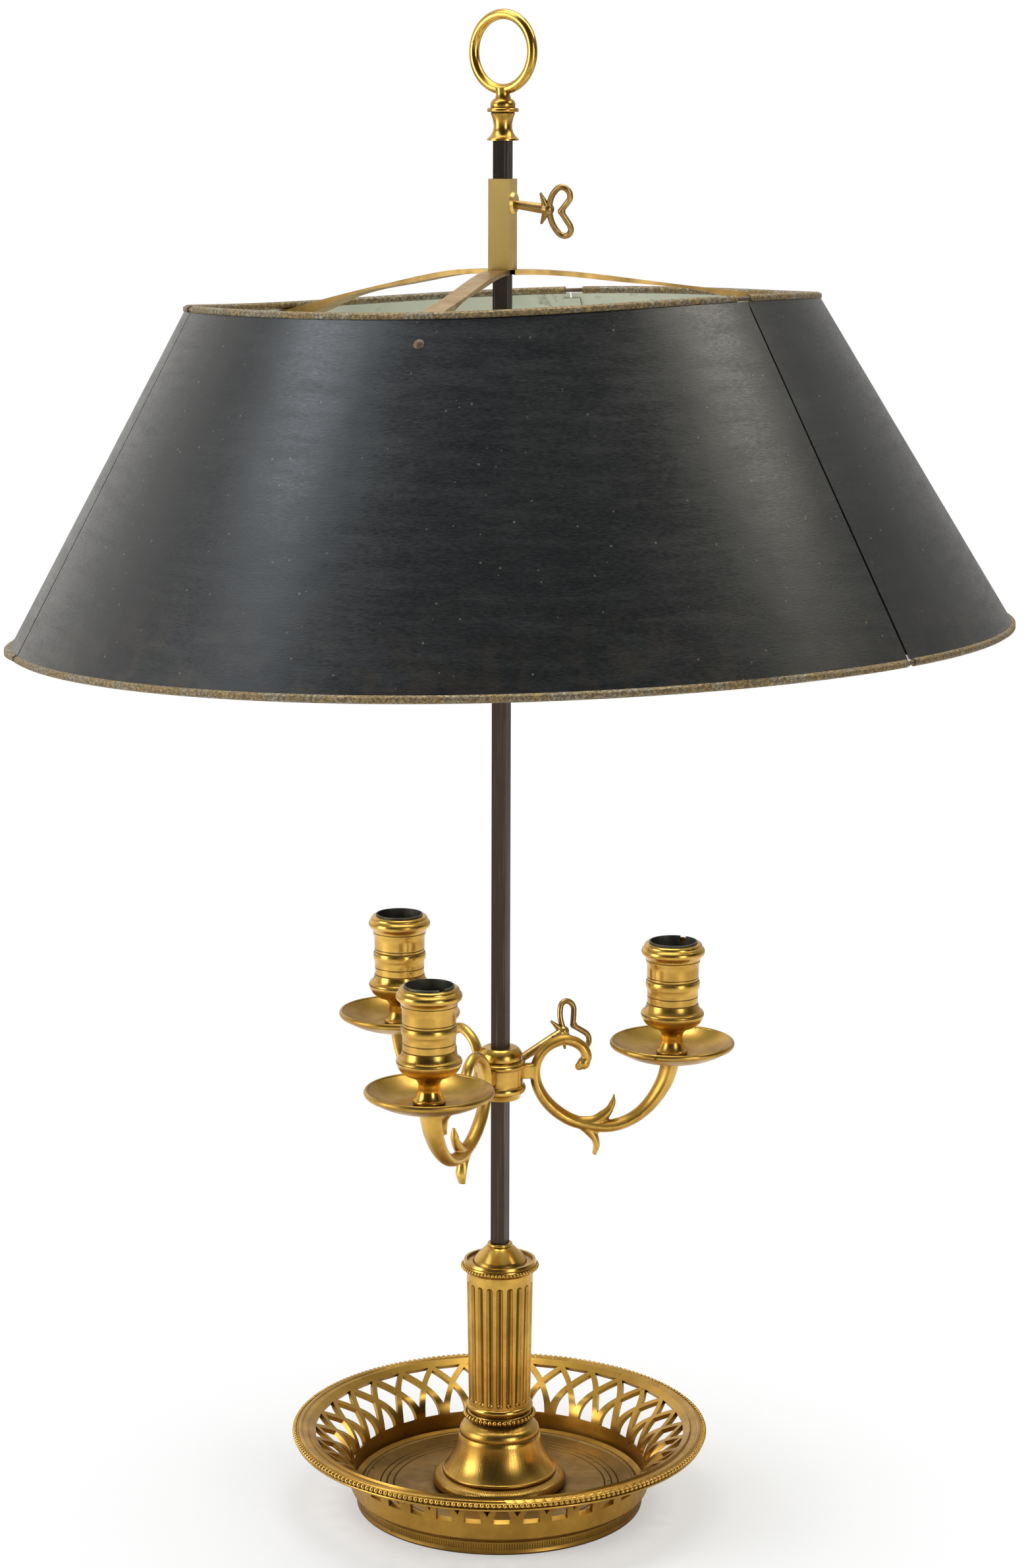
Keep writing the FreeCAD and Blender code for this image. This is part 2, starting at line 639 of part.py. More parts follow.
def sleeve_boss():
    face = SLEEVE / 2
    boss = Part.makeCone(5.1, 4.3, 1.3, polar(face, 70, 615.0), polar(1, 70, 0))
    return boss.cut(key_hole(SHADE_KEY))


def main():
    pins = seam_pins()
    nodes = {
        "foot_band": foot_band(),
        "gallery": gallery(),
        "gallery_rim": gallery_rim(),
        "floor_plate": floor_plate(),
        "milled_ring": milled_ring(),
        "bell_foot": bell(),
        "column_collar": column_collar(),
        "column_shaft": column(),
        "column_cap": column_cap(),
        "rod": rod(),
        "tail_washer": tail_washer(),
        "tail_nut": tail_nut(),
        "top_ring_finial": finial(),
        "shade_sleeve": shade_sleeve(),
        "sleeve_boss": sleeve_boss(),
        "seam_pins": pins,
        "shade_key": key(SHADE_KEY),
        "arm_key": key(ARM_KEY),
    }
    rivets = shade_rivets()
    nodes["shade_rivets"] = Part.makeCompound(rivets)
    for i, name in enumerate(PANEL_NAMES):
        top_rim = shade_rim(i, False)
        bottom_rim = shade_rim(i, True)
        nodes["shade_panel_" + name] = shade_panel(i).cut(rivets[i])
        nodes["top_rim_" + name] = top_rim.cut(pins)
        nodes["bottom_rim_" + name] = bottom_rim.cut(pins)
        nodes["spider_arm_" + name] = spider_arm(i, rivets)
    arm = arm_body()
    arms = []
    for az, name in zip(ARM_AZ, ARM_NAMES):
        placed = about_z(arm, az - 90)
        arms.append(placed)
        nodes["candle_arm_" + name] = placed
        for part, shape in (("drip_pan", drip_pan()), ("nozzle", nozzle()),
                            ("nozzle_liner", nozzle_liner())):
            shape.translate(V(PAN_R, 0, 0))
            nodes[part + "_" + name] = about_z(shape, az - 90)
    nodes["arm_collar"] = arm_collar(arms)

    os.makedirs("parts", exist_ok=True)
    for name, shape in nodes.items():
        print(name, len(shape.Solids), "solids", shape.isValid(), round(shape.Volume / 1000, 2), "cm3")
        shape.exportStep("parts/" + name + ".step")
    print(len(nodes), "nodes")


OPENINGS = openings()
main()
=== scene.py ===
"""Looks of the bouillotte lamp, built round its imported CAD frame. Metres, row frame."""
import math

import bmesh
import bpy
from mathutils import Matrix, Vector

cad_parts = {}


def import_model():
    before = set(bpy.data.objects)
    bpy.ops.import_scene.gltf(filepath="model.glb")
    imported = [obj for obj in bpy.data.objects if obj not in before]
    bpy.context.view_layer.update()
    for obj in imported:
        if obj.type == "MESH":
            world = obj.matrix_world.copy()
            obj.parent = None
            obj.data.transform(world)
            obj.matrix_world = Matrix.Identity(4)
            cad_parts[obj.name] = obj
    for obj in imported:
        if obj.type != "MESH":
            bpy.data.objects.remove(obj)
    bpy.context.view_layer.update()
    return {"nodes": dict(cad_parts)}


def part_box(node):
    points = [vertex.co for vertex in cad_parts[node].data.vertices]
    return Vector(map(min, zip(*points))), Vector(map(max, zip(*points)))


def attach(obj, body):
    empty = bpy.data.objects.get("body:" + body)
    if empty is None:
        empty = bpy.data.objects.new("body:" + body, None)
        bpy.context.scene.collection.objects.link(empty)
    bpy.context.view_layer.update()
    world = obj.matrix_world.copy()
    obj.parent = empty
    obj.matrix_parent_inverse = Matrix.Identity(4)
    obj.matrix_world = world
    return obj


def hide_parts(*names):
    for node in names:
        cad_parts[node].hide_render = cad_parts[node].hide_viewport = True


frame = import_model()
MM = 0.001

# Camera: fitted to the photograph
CAMERA_AT = (0.0, -1.6058, 0.6626)
CAMERA_DOWN = 0.19233
CAMERA_YAW = 0.003417
CAMERA_ROLL = 0.003277
FOCAL_PX, LONG_SIDE_PX, SENSOR = 5373.2, 2380, 36.0

# Room, as reflections see it: its light in front of and behind the lamp, then the factor on
# that light at its left and right
DARK_ROOM, BRIGHT_ROOM = 0.035, 0.85
LEFT_SHARE, RIGHT_SHARE = 1.25, 0.55
# Floor: half its width, its drop under the foot, and how it turns plain white for the camera
# (inner radius, outer radius, share of white inside, share outside)
FLOOR_HALF, FLOOR_DROP = 6.0, 0.0002
FLOOR_FADE = (0.07, 0.24, 0.45, 1.0)
# Softboxes: azimuth from the front, rise, distance, width, height, power, colour
WHITE, COOL, WARM = (1.0, 1.0, 1.0), (0.86, 0.93, 1.0), (1.0, 0.96, 0.84)
SOFTBOXES = {
    "shade_left": (-78, 53, 1.5, 0.55, 0.75, 6.5, COOL),
    "shade_right": (89, 53, 1.5, 0.50, 0.75, 6.5, WARM),
    "low_left": (-72, 6, 1.7, 0.8, 1.0, 13.5, WHITE),
    "low_right": (36, 6, 2.2, 0.55, 1.1, 12.5, WHITE),
    "top_box": (180, 82, 1.9, 1.3, 1.2, 30, WHITE),
}
SOFTBOX_AIM = (0.0, 0.0, 0.4)

# Sizes on the lamp are in mm.
# Bead rows: node, count, bead radius, height above the node's foot, depth inside its rim
BEAD_ROWS = {
    "gallery_beads": ("gallery_rim", 236, 1.22, 3.0, 0.15),
    "collar_beads": ("column_collar", 44, 1.25, 2.2, -0.25),
    "cap_beads": ("column_cap", 64, 0.92, 2.0, -0.25),
}
# Milled bands and the column's flutes, whose hollows get painted shade: count, lowest and highest
# height
FOOT_TICKS = (360, 2.5, 5.6)
RING_TICKS = (240, 8.0, 14.8)
FLUTES = (20, 52.0, 109.5)
# Engraved rings of the floor plate (radius), incised lines of the nozzles (height), and half
# the width of each; they are bumped in as grooves and get painted shade
FLOOR_LINES = (57.2, 54.1, 50.7)
NOZZLE_LINES = (264.4, 256.2, 254.9, 247.0, 243.6, 238.4)
LINE_HALF = 0.42

# Candle arms, in the plane of each arm: distance from the rod and height of the line's points,
# then (share of the way, breadth, depth) of the section
ARM_TURNS = {"front": -23.0, "right": 97.0, "back": 217.0}
ARM_LINE = [(39.9, 214.1), (40.9, 218.6), (38.7, 223.2), (33.8, 226.2), (28.6, 226.6),
            (21.2, 222.8), (17.0, 215.3), (17.2, 206.0), (22.3, 196.7), (31.0, 189.2),
            (41.0, 185.3), (52.6, 184.2), (63.0, 187.6), (71.5, 194.8), (78.1, 205.2),
            (81.4, 216.8)]
ARM_SECTION = ((0.0, 4.6, 4.0), (0.06, 5.2, 5.2), (0.2, 5.6, 5.3), (0.4, 5.8, 4.9),
               (0.6, 6.8, 6.3), (0.78, 8.0, 6.2), (1.0, 10.8, 8.8))
UPPER_SPUR = [(36.0, 187.4), (44.5, 186.9), (50.4, 190.4), (53.4, 195.2), (54.2, 199.8)]
LOWER_SPUR = [(30.0, 190.4), (39.5, 184.6), (44.2, 180.0), (45.9, 175.2), (44.8, 170.4)]
UPPER_SECTION = ((0.0, 5.0, 4.5), (0.4, 5.4, 5.6), (0.7, 4.6, 3.4), (1.0, 2.2, 0.8))
LOWER_SECTION = ((0.0, 5.0, 4.5), (0.4, 5.6, 5.2), (0.7, 5.8, 3.6), (1.0, 4.0, 2.2))
# Balls of the scroll's curl (place, radius), and the neck to the collar (middle, size)
CURL = (((39.5, 0, 215.2), 3.1), ((37.3, 0, 213.7), 2.0))
NECK_AT, NECK_SIZE = (13.0, 0, 212.3), (7.6, 5.2, 6.6)
# Steps between two points of a line, points round a section, and how full a section's sides are
# (1 is an ellipse, 2 a lozenge)
LINE_STEPS, ROUND_STEPS, LOZENGE = 7, 20, 1.3
# The arm's bars are run together in cells of this size, then smoothed
CASTING_CELL, CASTING_PASSES = 0.5, 5

# CAD nodes: distance under which their vertices are one, and the angle of an edge that stays
# sharp on rolled rims and elsewhere
WELD = 2e-6
RIM_EDGE, SHARP_EDGE = 70, 32


# Node trees

class Graph:
    """A node tree, with short ways to add nodes and join them."""

    def __init__(self, tree):
        self.tree = tree

    def add(self, kind, values=None, **settings):
        node = self.tree.nodes.new("ShaderNode" + kind)
        for name, value in settings.items():
            setattr(node, name, value)
        for key, value in (values or {}).items():
            if isinstance(value, bpy.types.NodeSocket):
                self.tree.links.new(value, node.inputs[key])
            else:
                node.inputs[key].default_value = value
        return node

    def math(self, operation, a, b=0.0, clamp=False):
        node = self.add("Math", {0: a, 1: b}, operation=operation, use_clamp=clamp)
        return node.outputs[0]

    def fit(self, value, low, high, to_low=0.0, to_high=1.0):
        """Maps low..high smoothly to to_low..to_high."""
        node = self.add("MapRange", {0: value, 1: low, 2: high, 3: to_low, 4: to_high},
                        interpolation_type="SMOOTHSTEP")
        return node.outputs[0]

    def mix(self, factor, a, b):
        node = self.add("Mix", {0: factor, 6: a, 7: b}, data_type="RGBA")
        return node.outputs[2]

    def noise(self, vector, scale, detail=3.0, rough=0.55):
        node = self.add("TexNoise", {"Vector": vector, "Scale": scale, "Detail": detail,
                                     "Roughness": rough})
        return node.outputs["Fac"]

    def stretched(self, vector, scale):
        return self.add("VectorMath", {0: vector, 1: scale}, operation="MULTIPLY").outputs[0]

    def use(self, group, **values):
        node = self.tree.nodes.new("ShaderNodeGroup")
        node.node_tree = group
        for key, value in values.items():
            if isinstance(value, bpy.types.NodeSocket):
                self.tree.links.new(value, node.inputs[key])
            else:
                node.inputs[key].default_value = value
        return node.outputs

    def place(self):
        return self.add("TexCoord").outputs["Object"]

    def polar(self, vector):
        """(angle, radius, height) of a point about the lamp's axis."""
        x, y, z = self.add("SeparateXYZ", {0: vector}).outputs
        turn = self.math("ARCTAN2", y, x)
        radius = self.math("SQRT", self.math("ADD", self.math("MULTIPLY", x, x),
                                             self.math("MULTIPLY", y, y)))
        return turn, radius, z


def node_group(name, sockets_in, sockets_out):
    """Empty shader group with named sockets; returns it with its graph, inputs and output node."""
    tree = bpy.data.node_groups.new(name, "ShaderNodeTree")
    for title, kind, value in sockets_in:
        socket = tree.interface.new_socket(title, in_out="INPUT", socket_type="NodeSocket" + kind)
        if value is not None:
            socket.default_value = value
    for title, kind in sockets_out:
        tree.interface.new_socket(title, in_out="OUTPUT", socket_type="NodeSocket" + kind)
    inside = tree.nodes.new("NodeGroupInput").outputs
    return tree, Graph(tree), inside, tree.nodes.new("NodeGroupOutput")


def aging_group():
    """Uneven tarnishing, fine mottle and scattered dark specks, each from 0 to 1."""
    tree, g, given, out = node_group(
        "Aging", [("Vector", "Vector", None), ("Size", "Float", 1.0)],
        [("Cloud", "Float"), ("Mottle", "Float"), ("Specks", "Float")])
    scaled = g.add("VectorMath", {0: given["Vector"], 3: given["Size"]}, operation="SCALE")
    vector = scaled.outputs[0]
    cloud = g.fit(g.noise(vector, 55.0, 4.0, 0.6), 0.34, 0.68)
    mottle = g.noise(vector, 620.0, 4.0, 0.6)
    cells = g.add("TexVoronoi", {"Vector": vector, "Scale": 240.0, "Randomness": 1.0})
    size = g.add("TexWhiteNoise", {"Vector": cells.outputs["Position"]}).outputs["Value"]
    reach = g.fit(size, 0.86, 1.0, 0.0, 0.23)
    specks = g.fit(g.math("SUBTRACT", reach, cells.outputs["Distance"]), 0.0, 0.06)
    for title, value in (("Cloud", cloud), ("Mottle", mottle), ("Specks", specks)):
        tree.links.new(value, out.inputs[title])
    return tree


def ticks_group():
    """Upright ridges round the axis, between two heights, and the mask of the hollows between
    them, which gets painted shade.
    """
    tree, g, given, out = node_group(
        "Milling", [("Vector", "Vector", None), ("Count", "Float", 240.0), ("Low", "Float", 0.0),
                    ("High", "Float", 0.01)],
        [("Height", "Float"), ("Hollow", "Float")])
    turn, _, z = g.polar(given["Vector"])
    share = g.math("FRACT", g.math("MULTIPLY", turn, g.math("DIVIDE", given["Count"], math.tau)))
    off_middle = g.math("SUBTRACT", g.math("MULTIPLY", share, 2.0), 1.0)
    wave = g.math("SUBTRACT", 1.0, g.math("ABSOLUTE", off_middle))
    rounded = g.math("POWER", wave, 0.6)
    band = g.math("MULTIPLY",
                  g.math("GREATER_THAN", z, given["Low"]), g.math("LESS_THAN", z, given["High"]))
    height = g.math("MULTIPLY", rounded, band)
    hollow_shade = g.math("MULTIPLY", g.fit(wave, 0.5, 0.1), band)
    tree.links.new(height, out.inputs["Height"])
    tree.links.new(hollow_shade, out.inputs["Hollow"])
    return tree


def line_group():
    """A soft line, 1 at its middle, where a value passes a given place."""
    tree, g, given, out = node_group(
        "Line", [("Value", "Float", None), ("At", "Float", 0.0), ("Width", "Float", 0.0004)],
        [("Line", "Float")])
    off = g.math("ABSOLUTE", g.math("SUBTRACT", given["Value"], given["At"]))
    tree.links.new(g.fit(g.math("DIVIDE", off, given["Width"]), 1.0, 0.3), out.inputs["Line"])
    return tree


AGING = aging_group()
MILLING = ticks_group()
LINE = line_group()


def material(name):
    mat = bpy.data.materials.new(name)
    mat.use_nodes = True
    mat.node_tree.nodes.clear()
    return mat, Graph(mat.node_tree)


def close(g, color, roughness, normal, metallic, **fixed):
    """Ends a material in one principled shader."""
    shader = g.add("BsdfPrincipled", {"Base Color": color, "Roughness": roughness,
                                      "Metallic": metallic})
    for key, value in fixed.items():
        shader.inputs[key.replace("_", " ")].default_value = value
    g.tree.links.new(normal, shader.inputs["Normal"])
    g.add("OutputMaterial", {"Surface": shader.outputs[0]})


def bump(g, height, strength, distance):
    return g.add("Bump", {"Strength": strength, "Distance": distance,
                          "Height": height}).outputs[0]


def brass(name, bright, warm, shade_and_speck_colour, rough, wear=1.0, ticks=None, tick_height=3.0,
          streaks=0.0, rings=(), levels=()):
    """Lacquered brass, uneven in the open and pitted, with painted shade in dark brown in its
    hollows and between parts.

    ticks and tick_height mill a band, streaks brush it upright, and rings and levels are radii and
    heights of incised lines; the milled hollows and the incised lines get painted shade as well.
    """
    mat, g = material(name)
    place = g.place()
    aging = g.use(AGING, Vector=place, Size=1.0)
    # Painted shade: ambient occlusion darkens hollows, grooves and joins between parts
    hollow_shade = g.fit(g.add("AmbientOcclusion", {"Distance": 0.010}, samples=8).outputs["AO"],
                   0.86, 0.25)
    cloud = g.math("MULTIPLY", aging["Cloud"], 0.75 * wear)
    color = g.mix(cloud, bright, warm)
    # The dark mix: painted shade in the hollows, together with the real dark specks
    dark = g.math("MAXIMUM", g.math("MULTIPLY", hollow_shade, 0.85),
                  g.math("MULTIPLY", aging["Specks"], 0.6 * wear))
    height = g.math("MULTIPLY", aging["Mottle"], 0.1)
    if ticks:
        count, low, high = ticks
        mill = g.use(MILLING, Vector=place, Count=float(count), Low=low * MM, High=high * MM)
        # Painted shade in the hollows of the milling
        dark = g.math("MAXIMUM", dark, g.math("MULTIPLY", mill["Hollow"], 0.85))
        height = g.math("ADD", height, g.math("MULTIPLY", mill["Height"], tick_height))
    _, radius, z = g.polar(place)
    for value, spots in ((radius, rings), (z, levels)):
        for spot in spots:
            line = g.use(LINE, Value=value, At=spot * MM, Width=LINE_HALF * MM)["Line"]
            # Painted shade in the incised lines
            dark = g.math("MAXIMUM", dark, g.math("MULTIPLY", line, 0.8))
            height = g.math("SUBTRACT", height, line)
    if streaks:
        flat = g.stretched(place, (1.0, 1.0, 0.0))
        across = g.add("VectorMath", {0: flat}, operation="NORMALIZE").outputs[0]
        lines = g.noise(g.stretched(across, (34.0, 34.0, 1.0)), 1.0, 3.0, 0.7)
        lines = g.fit(lines, 0.42, 0.66)
        color = g.mix(g.math("MULTIPLY", lines, streaks), color, warm)
        height = g.math("ADD", height, g.math("MULTIPLY", lines, 0.25))
    color = g.mix(dark, color, shade_and_speck_colour)
    roughness = g.math("ADD", g.math("MULTIPLY", aging["Cloud"], 0.10 * wear), rough)
    roughness = g.math("ADD", roughness, g.math("MULTIPLY", dark, 0.25), clamp=True)
    close(g, color, roughness, bump(g, height, 0.35, 0.00012), 1.0)
    return mat


def rod_iron(name):
    """Dark iron, drawn lengthwise, rubbed in lines and browner under the shade."""
    mat, g = material(name)
    place = g.place()
    aging = g.use(AGING, Vector=place, Size=0.6)
    lines = g.noise(g.stretched(place, (1500.0, 1500.0, 18.0)), 1.0, 3.0, 0.6)
    rubbed = g.fit(lines, 0.56, 0.72)
    color = g.mix(aging["Cloud"], (0.020, 0.015, 0.012, 1), (0.045, 0.030, 0.022, 1))
    _, _, z = g.polar(place)
    color = g.mix(g.fit(z, 0.45, 0.39, 0.0, 0.8), color, (0.062, 0.041, 0.029, 1))
    color = g.mix(g.math("MULTIPLY", rubbed, 0.6), color, (0.17, 0.135, 0.10, 1))
    height = g.math("ADD", g.math("MULTIPLY", lines, 0.6), aging["Mottle"])
    close(g, color, g.fit(lines, 0.3, 0.8, 0.52, 0.34), bump(g, height, 0.5, 0.00015), 0.7)
    return mat


def tole_outside(name):
    """Near-black japanned tin: brushed sheen, soft dents, chips, and brown wear low down."""
    mat, g = material(name)
    place = g.place()
    aging = g.use(AGING, Vector=place, Size=0.35)
    brush = g.noise(g.stretched(place, (420.0, 420.0, 1700.0)), 1.0, 4.0, 0.65)
    strokes = g.noise(g.stretched(place, (30.0, 30.0, 220.0)), 1.0, 4.0, 0.6)
    dents = g.noise(place, 22.0, 2.0, 0.4)
    specks = g.use(AGING, Vector=place, Size=1.5)["Specks"]
    color = g.mix(aging["Cloud"], (0.0065, 0.0075, 0.0085, 1), (0.010, 0.0115, 0.012, 1))
    color = g.mix(g.fit(strokes, 0.55, 0.8, 0.0, 0.3), color, (0.018, 0.020, 0.019, 1))
    _, _, z = g.polar(place)
    patches = g.fit(g.noise(place, 90.0, 5.0), 0.45, 0.62)
    low = g.math("MULTIPLY", g.fit(z, 0.475, 0.415), patches)
    color = g.mix(g.math("MULTIPLY", low, 0.4), color, (0.045, 0.034, 0.022, 1))
    color = g.mix(g.math("MULTIPLY", specks, 0.5), color, (0.20, 0.16, 0.12, 1))
    roughness = g.math("ADD", g.fit(brush, 0.3, 0.7, 0.29, 0.40),
                       g.fit(strokes, 0.4, 0.7, -0.02, 0.04))
    height = g.math("ADD", g.math("MULTIPLY", dents, 9.0), g.math("MULTIPLY", brush, 0.6))
    height = g.math("ADD", height, g.math("MULTIPLY", strokes, 0.5))
    close(g, color, roughness, bump(g, height, 0.3, 0.0002), 0.0, Specular_IOR_Level=0.62)
    return mat


def tole_inside(name):
    """Cream and grey-green paint, flaked off in spots."""
    mat, g = material(name)
    place = g.place()
    aging = g.use(AGING, Vector=place, Size=0.45)
    flakes = g.fit(g.noise(place, 70.0, 6.0, 0.65), 0.56, 0.64)
    color = g.mix(aging["Cloud"], (0.62, 0.64, 0.50, 1), (0.50, 0.55, 0.44, 1))
    color = g.mix(g.math("MULTIPLY", flakes, 0.6), color, (0.24, 0.25, 0.19, 1))
    close(g, color, g.fit(flakes, 0.0, 1.0, 0.5, 0.7), bump(g, flakes, 0.3, 0.0002), 0.0)
    return mat


def worn_rim(name):
    """Rolled edge: silvery tin and old gilding showing through broken dark paint."""
    mat, g = material(name)
    place = g.place()
    aging = g.use(AGING, Vector=place, Size=0.8)
    chips = g.fit(g.noise(place, 760.0, 5.0, 0.7), 0.40, 0.66)
    gilt = g.fit(g.noise(place, 60.0, 3.0, 0.6), 0.40, 0.55)
    metal = g.mix(gilt, (0.33, 0.30, 0.22, 1), (0.36, 0.25, 0.10, 1))
    color = g.mix(chips, (0.13, 0.095, 0.05, 1), metal)
    color = g.mix(g.math("MULTIPLY", aging["Specks"], 0.8), color, (0.10, 0.06, 0.03, 1))
    close(g, color, g.fit(chips, 0.0, 1.0, 0.6, 0.42), bump(g, chips, 0.6, 0.0002), 0.55)
    return mat


def dull_metal(name, base, spot, rough):
    """Tin or steel with a stain and dark specks."""
    mat, g = material(name)
    place = g.place()
    aging = g.use(AGING, Vector=place, Size=1.4)
    color = g.mix(aging["Cloud"], base, spot)
    color = g.mix(g.math("MULTIPLY", aging["Specks"], 0.8), color, (0.03, 0.02, 0.015, 1))
    roughness = g.fit(aging["Mottle"], 0.3, 0.7, rough - 0.08, rough + 0.1)
    close(g, color, roughness, bump(g, aging["Mottle"], 0.4, 0.0001), 0.8)
    return mat


# Colours of brass: open, uneven, and the dark brown of the painted shade in the hollows and of the
# dark specks
GOLD, HONEY, UMBER = (0.70, 0.425, 0.095, 1), (0.46, 0.255, 0.048, 1), (0.075, 0.036, 0.010, 1)
FOOT_GOLD, FOOT_HONEY = (0.58, 0.335, 0.065, 1), (0.38, 0.21, 0.038, 1)
PAN_GOLD, PAN_HONEY = (0.58, 0.35, 0.08, 1), (0.36, 0.20, 0.04, 1)
PALE_GOLD, PALE_HONEY = (0.86, 0.60, 0.20, 1), (0.68, 0.45, 0.14, 1)
BROWN_GOLD, BROWN_HONEY = (0.50, 0.32, 0.11, 1), (0.30, 0.18, 0.06, 1)
TRAY_GOLD, TRAY_HONEY = (0.38, 0.235, 0.075, 1), (0.24, 0.145, 0.05, 1)
TRAY_UMBER = (0.05, 0.03, 0.012, 1)

MATERIALS = {}
for name, finish in {
    "gilt_brass": (GOLD, HONEY, UMBER, 0.20),
    "bell_brass": (GOLD, HONEY, UMBER, 0.24, {"streaks": 0.8}),
    "arm_brass": (GOLD, HONEY, UMBER, 0.33, {"wear": 1.2}),
    "nozzle_brass": (GOLD, HONEY, UMBER, 0.22, {"levels": NOZZLE_LINES}),
    "pan_brass": (PAN_GOLD, PAN_HONEY, UMBER, 0.27, {"wear": 1.2}),
    # The column's flutes get painted shade only, with no ridges in the bump
    "column_brass": (GOLD, HONEY, UMBER, 0.26, {"ticks": FLUTES, "tick_height": 0.0}),
    "foot_brass": (FOOT_GOLD, FOOT_HONEY, UMBER, 0.26, {"ticks": FOOT_TICKS}),
    "milled_brass": (GOLD, HONEY, UMBER, 0.22, {"ticks": RING_TICKS}),
    "sleeve_brass": (PALE_GOLD, PALE_HONEY, UMBER, 0.36, {"wear": 0.8}),
    "brown_brass": (BROWN_GOLD, BROWN_HONEY, UMBER, 0.30, {"wear": 1.3}),
    "floor_brass": (TRAY_GOLD, TRAY_HONEY, TRAY_UMBER, 0.40, {"wear": 1.3, "rings": FLOOR_LINES}),
}.items():
    more = finish[4] if len(finish) > 4 else {}
    MATERIALS[name] = brass(name, *finish[:4], **more)
for paint in (rod_iron, tole_outside, tole_inside, worn_rim):
    MATERIALS[paint.__name__] = paint(paint.__name__)
for name, base, spot, rough in (
        ("tinned_liner", (0.07, 0.072, 0.062, 1), (0.16, 0.15, 0.11, 1), 0.5),
        ("plain_steel", (0.20, 0.15, 0.11, 1), (0.10, 0.06, 0.04, 1), 0.55)):
    MATERIALS[name] = dull_metal(name, base, spot, rough)

# Finish of each node, by the start of its name; the first that fits is used
LOOKS = (
    ("nozzle_liner", "tinned_liner"), ("nozzle", "nozzle_brass"), ("drip_pan", "pan_brass"),
    ("candle_arm", "arm_brass"), ("foot_band", "foot_brass"), ("gallery", "foot_brass"),
    ("floor_plate", "floor_brass"), ("milled_ring", "milled_brass"),
    ("bell_foot", "bell_brass"), ("column_shaft", "column_brass"), ("rod", "rod_iron"),
    ("shade_sleeve", "sleeve_brass"), ("sleeve_boss", "sleeve_brass"),
    ("shade_key", "brown_brass"), ("arm_key", "brown_brass"), ("spider_arm", "brown_brass"),
    ("shade_panel", "tole_outside"), ("top_rim", "worn_rim"), ("bottom_rim", "worn_rim"),
    ("tail_washer", "plain_steel"), ("tail_nut", "plain_steel"), ("seam_pins", "plain_steel"),
    ("shade_rivets", "plain_steel"),
)


# Pieces

def look_of(node):
    for stem, look in LOOKS:
        if node == stem or node.startswith(stem + "_"):
            return MATERIALS[look]
    return MATERIALS["gilt_brass"]


def dress(node, obj):
    """Material and smooth shading for a CAD node; its shape stays as it is."""
    obj.data.materials.clear()
    obj.data.materials.append(look_of(node))
    obj.data.polygons.foreach_set("use_smooth", [True] * len(obj.data.polygons))
    weld = obj.modifiers.new("weld", "WELD")
    weld.merge_threshold = WELD
    split = obj.modifiers.new("edges", "EDGE_SPLIT")
    split.split_angle = math.radians(RIM_EDGE if "_rim_" in node else SHARP_EDGE)
    if node.startswith("shade_panel"):
        obj.data.materials.append(MATERIALS["tole_inside"])
        for face in obj.data.polygons:
            outward = face.normal.x * face.center.x + face.normal.y * face.center.y
            face.material_index = 0 if outward > 0 else 1


def piece(name, work, finish):
    """Object of a mesh in the making, in one finish."""
    mesh = bpy.data.meshes.new(name)
    work.to_mesh(mesh)
    work.free()
    mesh.materials.append(finish)
    obj = bpy.data.objects.new(name, mesh)
    bpy.context.scene.collection.objects.link(obj)
    return obj


def bead_row(name, node, count, radius, height, inset):
    """Ring of round beads standing on a turned node."""
    low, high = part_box(node)
    ring = high.x - inset * MM
    work = bmesh.new()
    for i in range(count):
        turn = math.tau * i / count
        at = Vector((ring * math.cos(turn), ring * math.sin(turn), low.z + height * MM))
        bmesh.ops.create_icosphere(work, subdivisions=2, radius=radius * MM,
                                   matrix=Matrix.Translation(at))
    for face in work.faces:
        face.smooth = True
    obj = piece(name, work, MATERIALS["gilt_brass"])
    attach(obj, "stand")


def smooth_line(points):
    """Points along a smooth curve through the given ones."""
    line = [Vector(point) for point in points]
    line = [line[0] * 2 - line[1]] + line + [line[-1] * 2 - line[-2]]
    spots = []
    for a, b, c, d in zip(line, line[1:], line[2:], line[3:]):
        for i in range(LINE_STEPS):
            t = i / LINE_STEPS
            spots.append((b * 2 + (c - a) * t + (a * 2 - b * 5 + c * 4 - d) * t ** 2
                          + (b * 3 - a - c * 3 + d) * t ** 3) / 2)
    return spots + [line[-2]]


def size_at(section, share):
    """(breadth, depth) at a share of the way along, eased between the rows of a section."""
    for (t0, b0, d0), (t1, b1, d1) in zip(section, section[1:]):
        if share <= t1:
            t = (share - t0) / (t1 - t0)
            t = t * t * (3 - 2 * t)
            return b0 + (b1 - b0) * t, d0 + (d1 - d0) * t
    return section[-1][1:]


def full(share):
    """Reach of a section towards one side, from the cosine or sine of the turn to it."""
    return math.copysign(abs(share) ** LOZENGE, share) / 2


def cast_bar(work, points, section):
    """Closed bar along a line in an arm's plane; its section is a lozenge with full sides."""
    spots = smooth_line(points)
    rows = []
    for i, spot in enumerate(spots):
        ahead = spots[min(i + 1, len(spots) - 1)] - spots[max(i - 1, 0)]
        off = Vector((-ahead.y, ahead.x)).normalized()
        breadth, depth = size_at(section, i / (len(spots) - 1))
        row = []
        for k in range(ROUND_STEPS):
            turn = math.tau * k / ROUND_STEPS
            at = spot + off * (full(math.sin(turn)) * depth)
            row.append(work.verts.new((at.x, full(math.cos(turn)) * breadth, at.y)))
        rows.append(row)
    for a, b in zip(rows, rows[1:]):
        for k in range(ROUND_STEPS):
            after = (k + 1) % ROUND_STEPS
            work.faces.new((a[k], b[k], b[after], a[after]))
    work.faces.new(rows[0])
    work.faces.new(reversed(rows[-1]))


